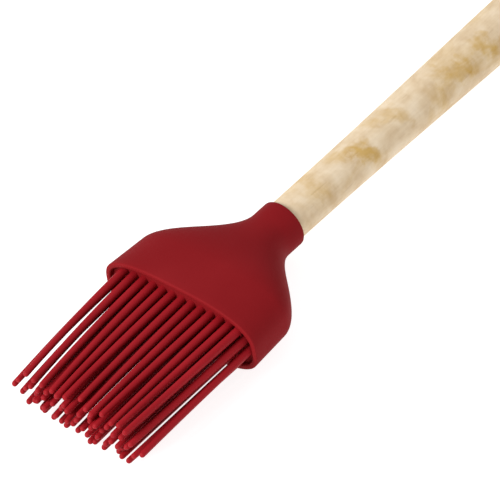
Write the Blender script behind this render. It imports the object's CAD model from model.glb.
# %% [markdown]
# # A pastry brush with silicone bristles
# The real brush has two pieces: a turned stick of pale wood, and one soft silicone moulding
# that is pulled over its end. The moulding is a flat cap with five rows of bristles. The
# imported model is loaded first, because its bodies carry every finer piece made below.

# %% Load the frame
import math
import random

import bmesh
import bpy
from mathutils import Matrix, Vector


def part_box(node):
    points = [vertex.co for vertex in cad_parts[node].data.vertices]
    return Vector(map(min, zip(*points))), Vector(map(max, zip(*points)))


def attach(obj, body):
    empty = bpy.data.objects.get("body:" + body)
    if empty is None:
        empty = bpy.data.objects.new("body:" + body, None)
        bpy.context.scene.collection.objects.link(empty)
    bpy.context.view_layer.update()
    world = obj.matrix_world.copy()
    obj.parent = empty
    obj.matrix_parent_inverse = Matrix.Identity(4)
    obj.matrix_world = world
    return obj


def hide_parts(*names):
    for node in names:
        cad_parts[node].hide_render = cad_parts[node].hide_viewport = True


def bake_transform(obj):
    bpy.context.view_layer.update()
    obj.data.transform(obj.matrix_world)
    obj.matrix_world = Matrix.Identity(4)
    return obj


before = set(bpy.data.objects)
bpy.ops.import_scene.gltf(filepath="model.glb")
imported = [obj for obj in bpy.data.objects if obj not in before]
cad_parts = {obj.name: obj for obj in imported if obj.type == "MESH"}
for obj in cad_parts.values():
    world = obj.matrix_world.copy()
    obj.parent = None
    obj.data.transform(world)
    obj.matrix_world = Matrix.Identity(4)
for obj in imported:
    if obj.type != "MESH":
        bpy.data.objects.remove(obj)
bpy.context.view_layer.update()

# %% [markdown]
# ## Where things are
# The brush lies along Y with its bristles towards -Y. Every length along it is counted from
# the rim, the open front edge of the cap, so the rim and the brush's axis are read from the
# packed head before anything is drawn.

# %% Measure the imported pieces
head_low, head_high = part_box("head")
handle_low, handle_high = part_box("handle")
RIM_Y = head_low.y
AXIS_Z = (head_low.z + head_high.z) / 2
HEAD_LENGTH = head_high.y - head_low.y
HALF_WIDTH = head_high.x
HALF_THICK = (head_high.z - head_low.z) / 2
HANDLE_TIP = handle_high.y - RIM_Y
HANDLE_START = handle_low.y - RIM_Y
print(f"rim at y {RIM_Y:.4f}, axis at z {AXIS_Z:.4f}, head {HEAD_LENGTH:.4f} long")

# %% [markdown]
# ## Small tools
# Most pieces of this brush are tubes whose outline changes along the way. A tube starts as one
# circle, and each next ring is extruded from the last. While it is being made the rings stand
# one unit apart, so that a second step can tell which ring a point is in and move it into place.

# %% Tools for tubes and turned shapes
def plain_tube(ring_count, sides):
    """An open tube along Y, with a round ring of radius 1 at y = 0, 1, 2 and so on."""
    shape = bmesh.new()
    upright = Matrix.Rotation(math.pi / 2, 4, "X")
    bmesh.ops.create_circle(shape, segments=sides, radius=1.0, matrix=upright)
    edges = shape.edges[:]
    for _ in range(ring_count - 1):
        made = bmesh.ops.extrude_edge_only(shape, edges=edges)["geom"]
        fresh = {item for item in made if isinstance(item, bmesh.types.BMVert)}
        bmesh.ops.translate(shape, vec=(0, 1, 0), verts=list(fresh))
        edges = [
            item
            for item in made
            if isinstance(item, bmesh.types.BMEdge) and fresh.issuperset(item.verts)
        ]
    return shape


def turned(profile, steps):
    """A closed shape turned about Y from (radius, y) points that start and end on the axis."""
    shape = bmesh.new()
    verts = [shape.verts.new((radius, y, 0)) for radius, y in profile]
    edges = [shape.edges.new(pair) for pair in zip(verts, verts[1:])]
    bmesh.ops.spin(
        shape,
        geom=verts + edges,
        cent=(0, 0, 0),
        axis=(0, 1, 0),
        angle=2 * math.pi,
        steps=steps,
        use_merge=True,
    )
    bmesh.ops.remove_doubles(shape, verts=shape.verts, dist=1e-6)
    return shape


def close_ends(shape):
    """Fills the two open ends of a tube with a face each."""
    open_edges = [edge for edge in shape.edges if edge.is_boundary]
    bmesh.ops.holes_fill(shape, edges=open_edges, sides=0)


def finished(name, shape, material, smooth_angle=40):
    """A bmesh as an object with its normals outwards and its round faces shaded smooth."""
    bmesh.ops.recalc_face_normals(shape, faces=shape.faces)
    mesh = bpy.data.meshes.new(name)
    shape.to_mesh(mesh)
    shape.free()
    mesh.shade_smooth()
    mesh.set_sharp_from_angle(angle=math.radians(smooth_angle))
    mesh.materials.append(material)
    piece = bpy.data.objects.new(name, mesh)
    bpy.context.scene.collection.objects.link(piece)
    print(f"{name}: {len(mesh.polygons)} faces")
    return piece


def smooth_step(t):
    t = min(max(t, 0.0), 1.0)
    return t * t * (3 - 2 * t)


def signed_power(value, power):
    return math.copysign(abs(value) ** power, value)


# %% [markdown]
# ## Finishes
# A finish is built from the same few nodes each time: an object coordinate, a Mapping node that
# stretches it, a noise, and a ramp that turns the noise into colours or roughness. Object
# coordinates are in metres here, so a noise of scale 1000 has spots of about a millimetre.

# %% Tools for finishes
def new_finish(name):
    material = bpy.data.materials.new(name)
    material.use_nodes = True
    tree = material.node_tree
    return material, tree, tree.nodes["Principled BSDF"]


def stretched_noise(
    tree, stretch, scale, detail=3.0, roughness=0.5, place=(0, 0, 0), distortion=0.0
):
    """A noise on object coordinates, squeezed by the stretch and moved to the place."""
    coordinate = tree.nodes.new("ShaderNodeTexCoord")
    mapping = tree.nodes.new("ShaderNodeMapping")
    mapping.inputs["Scale"].default_value = stretch
    mapping.inputs["Location"].default_value = place
    noise = tree.nodes.new("ShaderNodeTexNoise")
    noise.inputs["Scale"].default_value = scale
    noise.inputs["Detail"].default_value = detail
    noise.inputs["Roughness"].default_value = roughness
    noise.inputs["Distortion"].default_value = distortion
    tree.links.new(coordinate.outputs["Object"], mapping.inputs["Vector"])
    tree.links.new(mapping.outputs["Vector"], noise.inputs["Vector"])
    return noise.outputs["Fac"]


def ramp(tree, factor, stops):
    """A colour ramp with (place, colour) stops."""
    node = tree.nodes.new("ShaderNodeValToRGB")
    elements = node.color_ramp.elements
    for number, (place, color) in enumerate(stops):
        element = elements[number] if number < 2 else elements.new(place)
        element.position = place
        element.color = (*color, 1.0)
    tree.links.new(factor, node.inputs["Fac"])
    return node.outputs["Color"]


def span(tree, factor, low, high):
    """The factor, 0 to 1, as a number between low and high."""
    node = tree.nodes.new("ShaderNodeMapRange")
    node.inputs["To Min"].default_value = low
    node.inputs["To Max"].default_value = high
    tree.links.new(factor, node.inputs["Value"])
    return node.outputs["Result"]


def blended(tree, factor, first, second, mode="MIX"):
    """Two colours mixed by a factor."""
    node = tree.nodes.new("ShaderNodeMix")
    node.data_type = "RGBA"
    node.blend_type = mode
    if isinstance(factor, float):
        node.inputs["Factor"].default_value = factor
    else:
        tree.links.new(factor, node.inputs["Factor"])
    tree.links.new(first, node.inputs[6])
    tree.links.new(second, node.inputs[7])
    return node.outputs[2]


def roughened(tree, shader, height, distance, strength=1.0):
    """Bumps the shader by a height of 0 to 1 times the distance."""
    bump = tree.nodes.new("ShaderNodeBump")
    bump.inputs["Distance"].default_value = distance
    bump.inputs["Strength"].default_value = strength
    tree.links.new(height, bump.inputs["Height"])
    tree.links.new(bump.outputs["Normal"], shader.inputs["Normal"])


# %% [markdown]
# Silicone is dyed all the way through, so its colour hardly changes. What shows is a dull skin
# with a fine tooth from the mould, a slow drift in gloss where hands have polished it, and a
# very slight cloudiness in the dye. The same recipe, a little livelier, serves the bristles.

# %% Silicone
SILICONE_IOR = 1.35


def silicone(name, dark, light, gloss, tooth, sheen):
    """Dyed silicone between two colours and two roughnesses, with a grit tooth metres deep."""
    material, tree, shader = new_finish(name)
    cloud = stretched_noise(tree, (1, 1, 1), 70.0, detail=2.0)
    color = ramp(tree, cloud, [(0.3, dark), (0.7, light)])
    tree.links.new(color, shader.inputs["Base Color"])
    polish = stretched_noise(tree, (1, 0.5, 1), 160.0, detail=4.0, place=(0.3, 0, 0))
    tree.links.new(span(tree, polish, *gloss), shader.inputs["Roughness"])
    grit = stretched_noise(tree, (1, 1, 1), 3200.0, detail=2.0, roughness=0.6)
    roughened(tree, shader, grit, tooth)
    shader.inputs["IOR"].default_value = SILICONE_IOR
    shader.inputs["Specular IOR Level"].default_value = sheen
    return material


CAP_SILICONE = silicone(
    "cap_silicone",
    dark=(0.219, 0.0082, 0.0110),
    light=(0.237, 0.0102, 0.0132),
    gloss=(0.60, 0.72),
    tooth=0.00003,
    sheen=0.08,
)
BRISTLE_SILICONE = silicone(
    "bristle_silicone",
    dark=(0.285, 0.0075, 0.0125),
    light=(0.330, 0.0100, 0.0160),
    gloss=(0.40, 0.54),
    tooth=0.00003,
    sheen=0.16,
)
print("silicone finishes:", CAP_SILICONE.name, BRISTLE_SILICONE.name)

# %% [markdown]
# The handle is a pale, close-grained wood with uneven tan stains running across it. Four
# patterns are laid over each other: soft clouds of growth, the stains, long fine fibres, and
# short dark flecks. Each is a noise stretched along the handle by its own amount, and the
# strongest stains are soft spots at places of their own.

# %% Pale wood
# Stains: distance behind the rim, degrees round the handle, half length, half width, depth.
STAINS = (
    (0.0465, 55, 0.0052, 0.0034, 0.42),
    (0.0572, 84, 0.0058, 0.0028, 0.66),
    (0.0622, 60, 0.0050, 0.0030, 1.00),
    (0.0640, 28, 0.0056, 0.0030, 0.72),
    (0.0700, 95, 0.0060, 0.0026, 0.52),
    (0.0757, 66, 0.0064, 0.0030, 0.62),
    (0.0890, 34, 0.0064, 0.0036, 0.48),
    (0.0935, 55, 0.0056, 0.0030, 0.66),
    (0.0993, 34, 0.0056, 0.0034, 0.98),
    (0.1076, 45, 0.0056, 0.0034, 0.98),
)
STAIN_SLANT = math.radians(-40)  # they run across the grain
STAIN_RADIUS = 0.0058  # the stains sit in the wood this far from the handle's axis
RAGGED_SCALE = 330.0  # how fine the stains' ragged edges are
RAGGED_REACH = 0.0085  # how far the edges wander, in metres


def stain_spot(tree, vector, spot):
    """A soft spot on the handle, as a number that is highest in its middle."""
    behind, degrees, half_length, half_width, depth = spot
    angle = math.radians(degrees)
    mapping = tree.nodes.new("ShaderNodeMapping")
    mapping.vector_type = "TEXTURE"
    mapping.inputs["Location"].default_value = (
        STAIN_RADIUS * math.cos(angle),
        RIM_Y + behind,
        AXIS_Z + STAIN_RADIUS * math.sin(angle),
    )
    mapping.inputs["Rotation"].default_value = (STAIN_SLANT, -angle, 0)
    mapping.inputs["Scale"].default_value = (2 * half_width, half_length, half_width)
    fade = tree.nodes.new("ShaderNodeTexGradient")
    fade.gradient_type = "SPHERICAL"
    tree.links.new(vector, mapping.inputs["Vector"])
    tree.links.new(mapping.outputs["Vector"], fade.inputs["Vector"])
    return span(tree, fade.outputs["Fac"], 0.0, depth)


def sum_of(tree, first, second, operation="ADD"):
    """Two numbers added, or put together by another operation, and kept between 0 and 1."""
    node = tree.nodes.new("ShaderNodeMath")
    node.operation = operation
    node.use_clamp = True
    for number, item in enumerate((first, second)):
        if isinstance(item, float):
            node.inputs[number].default_value = item
        else:
            tree.links.new(item, node.inputs[number])
    return node.outputs[0]


def wandering_coordinate(tree, scale, amount):
    """Object coordinates pushed about by a noise, so that round spots get ragged edges."""
    coordinate = tree.nodes.new("ShaderNodeTexCoord")
    noise = tree.nodes.new("ShaderNodeTexNoise")
    noise.inputs["Scale"].default_value = scale
    noise.inputs["Detail"].default_value = 4.0
    centred = tree.nodes.new("ShaderNodeVectorMath")
    centred.operation = "SUBTRACT"
    centred.inputs[1].default_value = (0.5, 0.5, 0.5)
    pushed = tree.nodes.new("ShaderNodeVectorMath")
    pushed.operation = "MULTIPLY_ADD"
    pushed.inputs[1].default_value = (amount, amount, amount)
    tree.links.new(coordinate.outputs["Object"], noise.inputs["Vector"])
    tree.links.new(noise.outputs["Color"], centred.inputs[0])
    tree.links.new(centred.outputs["Vector"], pushed.inputs[0])
    tree.links.new(coordinate.outputs["Object"], pushed.inputs[2])
    return pushed.outputs["Vector"]


def pale_wood():
    """Cream wood: clouds of growth, then stains, fibres and flecks over them."""
    material, tree, shader = new_finish("pale_wood")
    growth = stretched_noise(tree, (1, 0.9, 1), 250.0, detail=3.0, roughness=0.5, distortion=0.25)
    base = ramp(
        tree,
        growth,
        [
            (0.30, (0.680, 0.512, 0.326)),
            (0.50, (0.765, 0.605, 0.410)),
            (0.70, (0.840, 0.692, 0.505)),
        ],
    )
    cloud = stretched_noise(
        tree,
        (1, 0.75, 1),
        62.0,
        detail=5.0,
        roughness=0.62,
        place=(0.4, 0.15, 0.1),
        distortion=0.7,
    )
    stain = span(tree, ramp(tree, cloud, [(0.52, (0, 0, 0)), (0.70, (1, 1, 1))]), 0.0, 0.55)
    wandering = wandering_coordinate(tree, RAGGED_SCALE, RAGGED_REACH)
    for spot in STAINS:
        stain = sum_of(tree, stain, stain_spot(tree, wandering, spot))
    stain_color = ramp(tree, growth, [(0.3, (0.540, 0.325, 0.085)), (0.7, (0.650, 0.425, 0.140))])
    color = blended(tree, sum_of(tree, stain, 0.95, "MULTIPLY"), base, stain_color)
    fibre = stretched_noise(tree, (1, 0.05, 1), 1700.0, detail=3.0, roughness=0.6)
    fibre_shade = ramp(tree, fibre, [(0.32, (0.86, 0.84, 0.81)), (0.58, (1, 1, 1))])
    color = blended(tree, 0.32, color, fibre_shade, "MULTIPLY")
    fleck = stretched_noise(tree, (1, 0.12, 1), 1300.0, detail=1.0, place=(0, 0.7, 0))
    fleck_shade = ramp(tree, fleck, [(0.24, (0.62, 0.52, 0.42)), (0.31, (1, 1, 1))])
    color = blended(tree, 0.22, color, fleck_shade, "MULTIPLY")
    tree.links.new(color, shader.inputs["Base Color"])
    tree.links.new(span(tree, fibre, 0.56, 0.70), shader.inputs["Roughness"])
    shader.inputs["Specular IOR Level"].default_value = 0.12
    roughened(tree, shader, fibre, 0.00004)
    return material


PALE_WOOD = pale_wood()
print("wood finish:", PALE_WOOD.name)

# %% [markdown]
# ## The cap
# The cap is one wall that runs from the floor the bristles stand on, out round the rim, along
# the broad body, in over the shoulders to the collar, and back down the socket that grips the
# handle. Each ring is a squarish oval that turns round towards the collar, so the whole cap is
# one tube whose rings follow that path.

# %% Sizes of the cap
FLOOR_DEPTH = 0.0013  # the bristles' floor, behind the rim
LIP_WIDTH = 0.00135
RIM_ROUND = 0.00045
BODY_LENGTH = 0.011
BODY_TAPER = 0.0008
SHOULDER_LENGTH = 0.0208
BODY_SQUARENESS = 2.8
COLLAR_RADIUS = 0.0061
COLLAR_ROUND = 0.00025
GRIP_RADIUS_AT_COLLAR = 0.00522
SOCKET_DEPTH = 0.0225
SOCKET_DRAFT = 0.0001  # the socket narrows by this much from its mouth to its end
FLOOR_FILLET = 0.0004  # eases the corner between the lip's inside and the floor
FLOOR_INSETS = (0.0078, 0.005, 0.0026, LIP_WIDTH + FLOOR_FILLET)
CAP_SIDES = 144
BODY_RINGS = 6
SHOULDER_RINGS = 40
SOCKET_RINGS = 8


def cap_section(s):
    """Half width, half thickness and squareness of the cap's outside, s behind the rim."""
    drawn_in = BODY_TAPER * min(s / BODY_LENGTH, 1.0)
    change = smooth_step((s - BODY_LENGTH) / SHOULDER_LENGTH)
    body_half_width = HALF_WIDTH - drawn_in
    half_width = body_half_width + (COLLAR_RADIUS - body_half_width) * change
    half_thick = HALF_THICK + (COLLAR_RADIUS - HALF_THICK) * change
    return half_width, half_thick, BODY_SQUARENESS + (2 - BODY_SQUARENESS) * change


def inset_ring(section, s, inset):
    """A ring of the wall at s behind the rim, moved inwards from the outside by the inset."""
    half_width, half_thick, squareness = section
    return half_width - inset, half_thick - inset, squareness, s


# %% Rings of the cap
def rounded_edge(section_at, s_start, inset_start, s_end, inset_end, leaves_inwards, steps=4):
    """Rings round a quarter circle between two places on the wall, which it leaves either
    inwards, across the wall, or along it."""
    rings = []
    for step in range(steps + 1):
        turn = math.pi / 2 * step / steps
        along, inwards = math.sin(turn), 1 - math.cos(turn)
        if leaves_inwards:
            along, inwards = 1 - math.cos(turn), math.sin(turn)
        s = s_start + (s_end - s_start) * along
        inset = inset_start + (inset_end - inset_start) * inwards
        rings.append(inset_ring(section_at(max(s, 0.0)), s, inset))
    return rings


def cap_rings():
    """Every ring of the cap's wall, from the bristles' floor round the rim to the socket's end."""
    rim = cap_section(0)
    rings = [inset_ring(rim, FLOOR_DEPTH, inset) for inset in FLOOR_INSETS]
    rings.append(inset_ring(rim, FLOOR_DEPTH - FLOOR_FILLET / 4, LIP_WIDTH + FLOOR_FILLET / 4))
    rings.append(inset_ring(rim, FLOOR_DEPTH - FLOOR_FILLET, LIP_WIDTH))
    rings += rounded_edge(cap_section, RIM_ROUND, LIP_WIDTH, 0, LIP_WIDTH - RIM_ROUND, False)
    rings += rounded_edge(cap_section, 0, RIM_ROUND, RIM_ROUND, 0, True)
    for step in range(1, BODY_RINGS + 1):
        s = RIM_ROUND + (BODY_LENGTH - RIM_ROUND) * step / BODY_RINGS
        rings.append(inset_ring(cap_section(s), s, 0))
    for step in range(1, SHOULDER_RINGS + 1):
        s = BODY_LENGTH + SHOULDER_LENGTH * step / SHOULDER_RINGS
        rings.append(inset_ring(cap_section(s), s, 0))
    collar = cap_section(HEAD_LENGTH)
    for share in (0.35, 0.7):
        s = BODY_LENGTH + SHOULDER_LENGTH
        s += (HEAD_LENGTH - COLLAR_ROUND - s) * share
        rings.append(inset_ring(collar, s, 0))
    rings += rounded_edge(
        lambda s: collar, HEAD_LENGTH - COLLAR_ROUND, 0, HEAD_LENGTH, COLLAR_ROUND, False
    )
    wall = COLLAR_RADIUS - GRIP_RADIUS_AT_COLLAR
    rings += rounded_edge(
        lambda s: collar, HEAD_LENGTH, wall - COLLAR_ROUND, HEAD_LENGTH - COLLAR_ROUND, wall, True
    )
    for step in range(1, SOCKET_RINGS + 1):
        s = HEAD_LENGTH - COLLAR_ROUND - (SOCKET_DEPTH - COLLAR_ROUND) * step / SOCKET_RINGS
        rings.append(inset_ring(collar, s, wall + SOCKET_DRAFT * step / SOCKET_RINGS))
    return rings


def make_cap():
    """A plain tube whose rings are each moved to their place on the cap's wall."""
    rings = cap_rings()
    shape = plain_tube(len(rings), CAP_SIDES)
    for vert in shape.verts:
        half_width, half_thick, squareness, s = rings[round(vert.co.y)]
        angle = math.atan2(vert.co.z, vert.co.x)
        x = half_width * signed_power(math.cos(angle), 2 / squareness)
        z = half_thick * signed_power(math.sin(angle), 2 / squareness)
        vert.co = (x, RIM_Y + s, AXIS_Z + z)
    close_ends(shape)
    return finished("silicone_cap", shape, CAP_SILICONE)


cap = make_cap()
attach(cap, "head")
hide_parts("head")

# %% [markdown]
# ## The handle
# A turned stick is one outline spun about its axis. It is thinnest where the collar grips it,
# swells slowly towards the hand, and ends in a long dome. The part inside the cap is the tenon.
# The hanging hole is cut with a cutter that flares at both ends, which eases the hole's edges
# the way sandpaper does.

# %% Outline of the handle
TENON_RADIUS = 0.0049
TENON_CHAMFER = 0.0006
COLLAR_CLEARANCE = 0.00006  # keeps the wood just under the socket's skin
TENON_TOP = HEAD_LENGTH - 0.001  # the tenon meets the grip just inside the collar
GRIP_RADIUS = 0.00735
GRIP_PLACE = HEAD_LENGTH + 0.155
HOLE_RADIUS = 0.0035
HOLE_PLACE = HANDLE_TIP - 0.014
HOLE_FLARE = 0.0009  # how much wider the hole gets at its two mouths
FLARE_DEPTH = 0.0003  # how far the flare is sunk below the wood's fullest height
HANDLE_STEPS = 96
SWELL_POINTS = 60
DOME_POINTS = 40


def handle_radius(s):
    """The handle's radius outside the cap, s behind the rim."""
    t = (s - HEAD_LENGTH) / (GRIP_PLACE - HEAD_LENGTH)
    if t <= 1:
        swell = smooth_step(t**0.93)
        return GRIP_RADIUS_AT_COLLAR + (GRIP_RADIUS - GRIP_RADIUS_AT_COLLAR) * swell
    t = (s - GRIP_PLACE) / (HANDLE_TIP - GRIP_PLACE)
    return GRIP_RADIUS * math.sqrt(max(1 - t**4, 0))


def handle_outline():
    """(radius, distance behind the rim) from the tenon's end to the handle's tip."""
    outline = [
        (0, HANDLE_START),
        (TENON_RADIUS - TENON_CHAMFER, HANDLE_START),
        (TENON_RADIUS, HANDLE_START + TENON_CHAMFER),
        (GRIP_RADIUS_AT_COLLAR - COLLAR_CLEARANCE, TENON_TOP),
    ]
    for step in range(SWELL_POINTS + 1):
        s = HEAD_LENGTH + (GRIP_PLACE - HEAD_LENGTH) * step / SWELL_POINTS
        outline.append((handle_radius(s), s))
    for step in range(1, DOME_POINTS):
        s = GRIP_PLACE + (HANDLE_TIP - GRIP_PLACE) * math.sin(math.pi / 2 * step / DOME_POINTS)
        outline.append((handle_radius(s), s))
    outline.append((0, HANDLE_TIP))
    return outline


# %% Turn the handle and cut its hole
def hole_cutter():
    """A turned plug, narrow in the middle and flared where it leaves the wood."""
    reach = handle_radius(HOLE_PLACE)
    outline = [
        (0, -2 * reach),
        (HOLE_RADIUS + 2.5 * HOLE_FLARE, -2 * reach),
        (HOLE_RADIUS + 1.6 * HOLE_FLARE, -reach),
    ]
    for step in range(7):
        turn = math.pi / 2 * step / 6
        radius = HOLE_RADIUS + HOLE_FLARE * (1 - math.sin(turn))
        outline.append((radius, -reach + HOLE_FLARE * (1 - math.cos(turn)) + FLARE_DEPTH))
    outline += [(radius, -y) for radius, y in reversed(outline)]
    shape = turned(outline, 64)
    place = Matrix.Translation((0, RIM_Y + HOLE_PLACE, AXIS_Z))
    stand_up = place @ Matrix.Rotation(math.pi / 2, 4, "X")
    bmesh.ops.transform(shape, matrix=stand_up, verts=shape.verts)
    return finished("hole_cutter", shape, PALE_WOOD)


def make_handle():
    """The turned stick with its hanging hole cut right through."""
    shape = turned(handle_outline(), HANDLE_STEPS)
    bmesh.ops.translate(shape, vec=(0, RIM_Y, AXIS_Z), verts=shape.verts)
    handle = finished("wood_handle", shape, PALE_WOOD)
    cutter = hole_cutter()
    cut = handle.modifiers.new("hanging_hole", "BOOLEAN")
    cut.operation = "DIFFERENCE"
    cut.solver = "EXACT"
    cut.object = cutter
    graph = bpy.context.evaluated_depsgraph_get()
    pierced = bpy.data.meshes.new_from_object(handle.evaluated_get(graph))
    handle.modifiers.clear()
    handle.data = pierced
    bpy.data.objects.remove(cutter, do_unlink=True)
    print("handle after the cut:", len(pierced.polygons), "faces")
    return handle


handle = make_handle()
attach(handle, "handle")
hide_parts("handle")

# %% [markdown]
# ## The bristles
# Every bristle is the same tapered pin with a round tip, so one is turned and then copied. No
# two lie quite alike on a real brush: each copy leans, sags and is long by its own small
# amount. A seeded generator draws the amounts, so that the brush comes out the same every time.
# A bristle's root stays with the cap and the rest follows its row, so each row is blended
# between the two bodies, and it bends when the row's hinge turns.

# %% One bristle
ROOT_RADIUS = 0.00102
TIP_RADIUS = 0.00070
TAPER_POWER = 1.15  # above 1 keeps a bristle thick for longer
BRISTLE_REACH = 0.0358  # rim to tip, before each bristle's own difference
ROOT_SINK = 0.0003  # how far a root goes into the floor
TAPER_POINTS = 12
TIP_POINTS = 4


def bristle_outline():
    """(radius, distance from the root) along a bristle, and the bristle's whole length."""
    length = BRISTLE_REACH + FLOOR_DEPTH + ROOT_SINK
    outline = [(0, 0)]
    for step in range(TAPER_POINTS + 1):
        t = step / TAPER_POINTS
        radius = ROOT_RADIUS + (TIP_RADIUS - ROOT_RADIUS) * t**TAPER_POWER
        outline.append((radius, (length - TIP_RADIUS) * t))
    for step in range(1, TIP_POINTS + 1):
        turn = math.pi / 2 * step / TIP_POINTS
        radius = TIP_RADIUS * math.cos(turn) if step < TIP_POINTS else 0
        outline.append((radius, length - TIP_RADIUS + TIP_RADIUS * math.sin(turn)))
    return outline, length


# %% Rows of bristles
ROW_COUNTS = (13, 14, 15, 14, 13)
BRISTLE_PITCH = 0.00285
ROW_PITCH = 0.00236
ROW_SHIFT = 0.0002  # each row sits this much further to -X than the row above it
SAG = math.radians(3.9)
FAN_IN = math.radians(2.7)  # the end bristles lean in towards the middle by this much
LEAN_SPREAD = math.radians(0.55)  # how much single bristles differ
SAG_SPREAD = math.radians(0.5)
LENGTH_SPREAD = 0.0005
LONGER_SIDE = 0.0005  # the bristles at the +X end are this much longer than the middle ones
WAVE = math.radians(0.9)  # a slow wave along each row draws the bristles together and apart
WAVE_TURN = 14.0  # radians of the wave from the middle of a row to its end
STIFF_START = 0.42  # share of the bend that is there from the root, the rest grows with length
BRISTLE_SIDES = 14


def make_row(number, pin, length, chance):
    """One row, from the top one, number 1, to the lowest."""
    count = ROW_COUNTS[number - 1]
    row_z = AXIS_Z + ROW_PITCH * (3 - number)
    widest = BRISTLE_PITCH * (max(ROW_COUNTS) - 1) / 2
    shape = bmesh.new()
    for place in range(count):
        x = BRISTLE_PITCH * (place - (count - 1) / 2) + ROW_SHIFT * (3 - number)
        side = x / widest
        lean = WAVE * math.sin(WAVE_TURN * side) - FAN_IN * side + chance.gauss(0, LEAN_SPREAD)
        sag = SAG + chance.gauss(0, SAG_SPREAD)
        longer = 1 + (LONGER_SIDE * side + chance.gauss(0, LENGTH_SPREAD)) / length
        before = len(shape.verts)
        shape.from_mesh(pin)
        shape.verts.ensure_lookup_table()
        for vert in shape.verts[before:]:
            t = vert.co.y / length
            bent = t * length * (STIFF_START + (1 - STIFF_START) * t)
            vert.co = (
                x + vert.co.x + bent * math.tan(lean),
                RIM_Y + FLOOR_DEPTH + ROOT_SINK - vert.co.y * longer,
                row_z + vert.co.z - bent * math.tan(sag),
            )
    return finished(f"bristles_row_{number}", shape, BRISTLE_SILICONE, smooth_angle=60)


# %% Plant the rows
outline, bristle_length = bristle_outline()
pin_shape = turned(outline, BRISTLE_SIDES)
pin_mesh = bpy.data.meshes.new("pin")
pin_shape.to_mesh(pin_mesh)
pin_shape.free()
generator = random.Random(406)
for number in range(1, len(ROW_COUNTS) + 1):
    row = make_row(number, pin_mesh, bristle_length, generator)
    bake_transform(row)
    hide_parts(f"bristle_row_{number}")
bpy.data.meshes.remove(pin_mesh)

# %% [markdown]
# ## Floor, light and camera
# The brush lies on a white floor under a white sky and one large soft lamp. The floor glows a
# little, as a light table does, so that shadows on it stay faint. The camera is far away with a
# long lens, which keeps the near and the far end of the brush at nearly the same scale.

# %% Floor
FLOOR_GLOW = 0.86
FLOOR_HALF_SIZE = 6.0


def make_floor():
    material, tree, shader = new_finish("white_floor")
    speckle = stretched_noise(tree, (1, 1, 1), 14.0, detail=3.0)
    color = ramp(tree, speckle, [(0.3, (0.38, 0.38, 0.38)), (0.7, (0.40, 0.40, 0.40))])
    tree.links.new(color, shader.inputs["Base Color"])
    shader.inputs["Emission Color"].default_value = (1.0, 1.0, 1.0, 1.0)
    shader.inputs["Emission Strength"].default_value = FLOOR_GLOW
    shader.inputs["Roughness"].default_value = 0.9
    shader.inputs["Specular IOR Level"].default_value = 0.1
    shape = bmesh.new()
    bmesh.ops.create_grid(shape, x_segments=1, y_segments=1, size=FLOOR_HALF_SIZE)
    return finished("floor", shape, material)


floor = make_floor()

# %% Light
SKY_STRENGTH = 0.60
world = bpy.data.worlds.new("white_sky")
bpy.context.scene.world = world
world.use_nodes = True
sky = world.node_tree.nodes["Background"]
sky.inputs["Color"].default_value = (1.0, 1.0, 1.0, 1.0)
sky.inputs["Strength"].default_value = SKY_STRENGTH


def soft_lamp(name, place, aim, size, power):
    """A round white lamp that points from its place at the aim and isn't seen itself."""
    light = bpy.data.lights.new(name, "AREA")
    light.shape = "DISK"
    light.size = size
    light.energy = power
    lamp = bpy.data.objects.new(name, light)
    lamp.location = place
    lamp.rotation_euler = (Vector(aim) - Vector(place)).to_track_quat("-Z", "Y").to_euler()
    lamp.visible_camera = False
    bpy.context.scene.collection.objects.link(lamp)
    return lamp


lamp = soft_lamp("front_lamp", place=(-0.25, -0.90, 0.66), aim=(0, -0.05, 0), size=0.6, power=10.8)
print("sky strength", SKY_STRENGTH, "and lamp power", lamp.data.energy)

# %% Camera
AZIMUTH = math.radians(46.0)
ELEVATION = math.radians(42.76)
ROLL = math.radians(-8.58)
DISTANCE = 0.9
LENS = 286.4  # a long lens, in millimetres
LOOK_AT = Vector((0, RIM_Y + 0.020, AXIS_Z))
LOOK_RIGHT, LOOK_UP = 0.00286, 0.00341  # the camera slides this far sideways and up


def make_camera():
    """A camera that looks down at the cap from the front and the side, rolled a little."""
    back = Vector(
        (
            math.sin(AZIMUTH) * math.cos(ELEVATION),
            -math.cos(AZIMUTH) * math.cos(ELEVATION),
            math.sin(ELEVATION),
        )
    )
    level_right = Vector((math.cos(AZIMUTH), math.sin(AZIMUTH), 0))
    level_up = back.cross(level_right)
    right = math.cos(ROLL) * level_right + math.sin(ROLL) * level_up
    up = back.cross(right)
    data = bpy.data.cameras.new("studio_camera")
    data.lens = LENS
    data.sensor_width = 36.0
    data.clip_start = 0.01
    data.clip_end = 50.0
    camera = bpy.data.objects.new("studio_camera", data)
    turn = Matrix((right, up, back)).transposed().to_4x4()
    place = LOOK_AT + right * LOOK_RIGHT + up * LOOK_UP + back * DISTANCE
    camera.matrix_world = Matrix.Translation(place) @ turn
    bpy.context.scene.collection.objects.link(camera)
    bpy.context.scene.camera = camera
    return camera


camera = make_camera()
bpy.context.scene.view_settings.view_transform = "Standard"
print("camera at", [round(number, 3) for number in camera.location])
